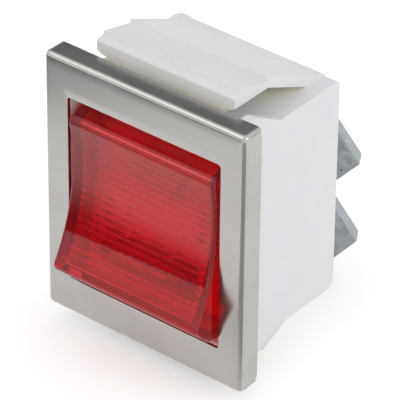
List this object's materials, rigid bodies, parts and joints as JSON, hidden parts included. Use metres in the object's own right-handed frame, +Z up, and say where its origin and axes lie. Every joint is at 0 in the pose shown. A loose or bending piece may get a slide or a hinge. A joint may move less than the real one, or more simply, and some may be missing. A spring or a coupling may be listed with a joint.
{
  "type": "panel rocker switch",
  "caption": "Illuminated rocker switch with a folded metal bezel, clear red dished rocker, white snap-in body and angled push-on blades.",
  "frame": {"origin": "middle of the bezel's opening, on the plane of the bezel's rear rim, which is the front face of the panel", "axes": "+X to the user's right, -Y out towards the user, +Y into the panel, +Z up towards the rocker's pressed end"},
  "size_m": [0.0252, 0.0287, 0.0334],
  "materials": {
    "bezel_plating": "satin nickel plate on pressed sheet",
    "housing_nylon": "natural white nylon, fine moulded texture",
    "rocker_lens": "clear red, polished, ribbed underneath",
    "carrier_moulding": "off-white moulding",
    "bulb_glass": "clear",
    "resistor_body": "tan lacquer, no bands",
    "lamp_wire": "tinned wire",
    "plunger_brass": "turned",
    "spring_steel": "bright spring wire",
    "contact_copper": "stamped copper alloy",
    "contact_silver": "silver alloy rivet",
    "terminal_plating": "dull tin plate, mottled"
  },
  "bodies": {
    "base": {"bezel": "bezel_plating", "housing": "housing_nylon", "common_terminal_left": "terminal_plating", "common_terminal_right": "terminal_plating", "switched_terminal_left": "terminal_plating", "switched_terminal_right": "terminal_plating", "fixed_contact_left": "contact_silver", "fixed_contact_right": "contact_silver"},
    "rocker": {"rocker": "rocker_lens", "lamp_carrier": "carrier_moulding", "neon_bulb": "bulb_glass", "ballast_resistor": "resistor_body", "lamp_lead_left": "lamp_wire", "lamp_lead_link": "lamp_wire", "lamp_lead_right": "lamp_wire", "plunger_spring_left": "spring_steel", "plunger_spring_right": "spring_steel"},
    "plunger_left": {"plunger_left": "plunger_brass"},
    "plunger_right": {"plunger_right": "plunger_brass"},
    "contact_left": {"contact_rocker_left": "contact_copper", "moving_contact_left": "contact_silver"},
    "contact_right": {"contact_rocker_right": "contact_copper", "moving_contact_right": "contact_silver"}
  },
  "joints": [
    {"name": "rocker_tilt", "type": "hinge", "parent": "base", "child": "rocker", "pos_m": [0, -0.001, 0], "axis": [1, 0, 0], "range_deg": [0, 19]},
    {"name": "contact_left_tilt", "type": "hinge", "parent": "base", "child": "contact_left", "pos_m": [-0.0057, 0.0094, 0], "axis": [1, 0, 0], "range_deg": [-16, 0]},
    {"name": "contact_right_tilt", "type": "hinge", "parent": "base", "child": "contact_right", "pos_m": [0.0057, 0.0094, 0], "axis": [1, 0, 0], "range_deg": [-16, 0]},
    {"name": "plunger_left_slide", "type": "slide", "parent": "rocker", "child": "plunger_left", "axis": [0, -0.9863, 0.165], "range_m": [0, 0.0004], "stiffness_N_per_m": 1500, "springref_m": -0.001},
    {"name": "plunger_right_slide", "type": "slide", "parent": "rocker", "child": "plunger_right", "axis": [0, -0.9863, 0.165], "range_m": [0, 0.0004], "stiffness_N_per_m": 1500, "springref_m": -0.001}
  ],
  "couplings": [
    {"joint": "contact_left_tilt", "follows": "rocker_tilt", "ratio": -0.842},
    {"joint": "contact_right_tilt", "follows": "rocker_tilt", "ratio": -0.842}
  ]
}
